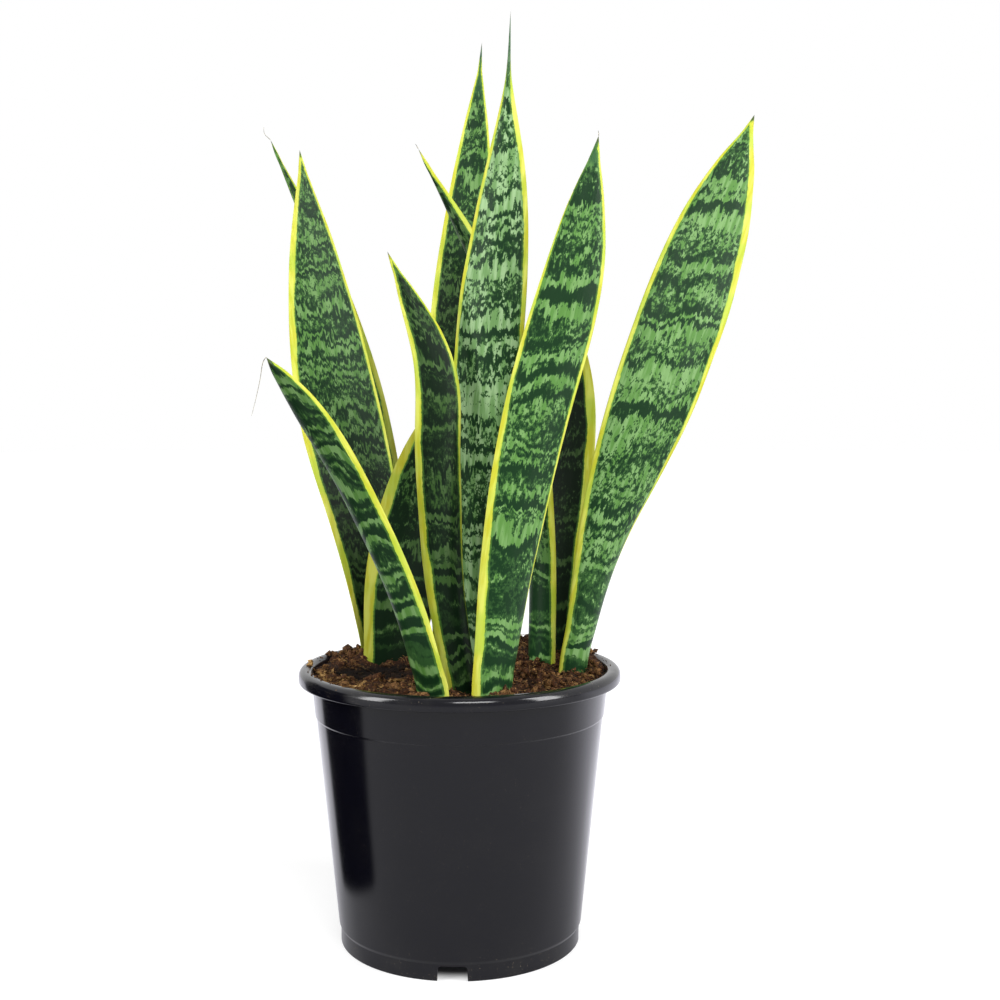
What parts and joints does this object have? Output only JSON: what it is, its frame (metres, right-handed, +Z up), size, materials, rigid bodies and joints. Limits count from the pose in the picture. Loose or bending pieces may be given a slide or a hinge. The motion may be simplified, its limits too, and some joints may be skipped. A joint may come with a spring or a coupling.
{
  "type": "potted snake plant",
  "caption": "Snake plant with upright, pointed, cross-banded green leaves edged in yellow, growing in potting mix in a tapered round black nursery pot.",
  "frame": {"origin": "centre of the whole plant's box at the level of the pot's foot; the pot's own axis stands a little to the left of it and in front of it", "axes": "+Z up along the pot's axis, +X to the right and -Y towards the viewer of the front leaves"},
  "size_m": [0.3206, 0.2258, 0.5775],
  "materials": {
    "pot_plastic": "gloss",
    "potting_mix": "matte",
    "rhizome": "satin",
    "leaf": "satin"
  },
  "bodies": {
    "root": {"pot": "pot_plastic", "potting_mix": "potting_mix", "front_rhizome": "rhizome", "right_rhizome": "rhizome", "back_rhizome": "rhizome", "front_left_leaf": "leaf", "front_right_leaf": "leaf", "centre_left_leaf": "leaf", "tall_centre_leaf": "leaf", "right_leaf": "leaf", "curved_leaf": "leaf", "back_right_leaf": "leaf", "short_back_leaf": "leaf", "left_leaf": "leaf", "back_left_leaf": "leaf", "tall_back_leaf": "leaf"}
  },
  "joints": []
}
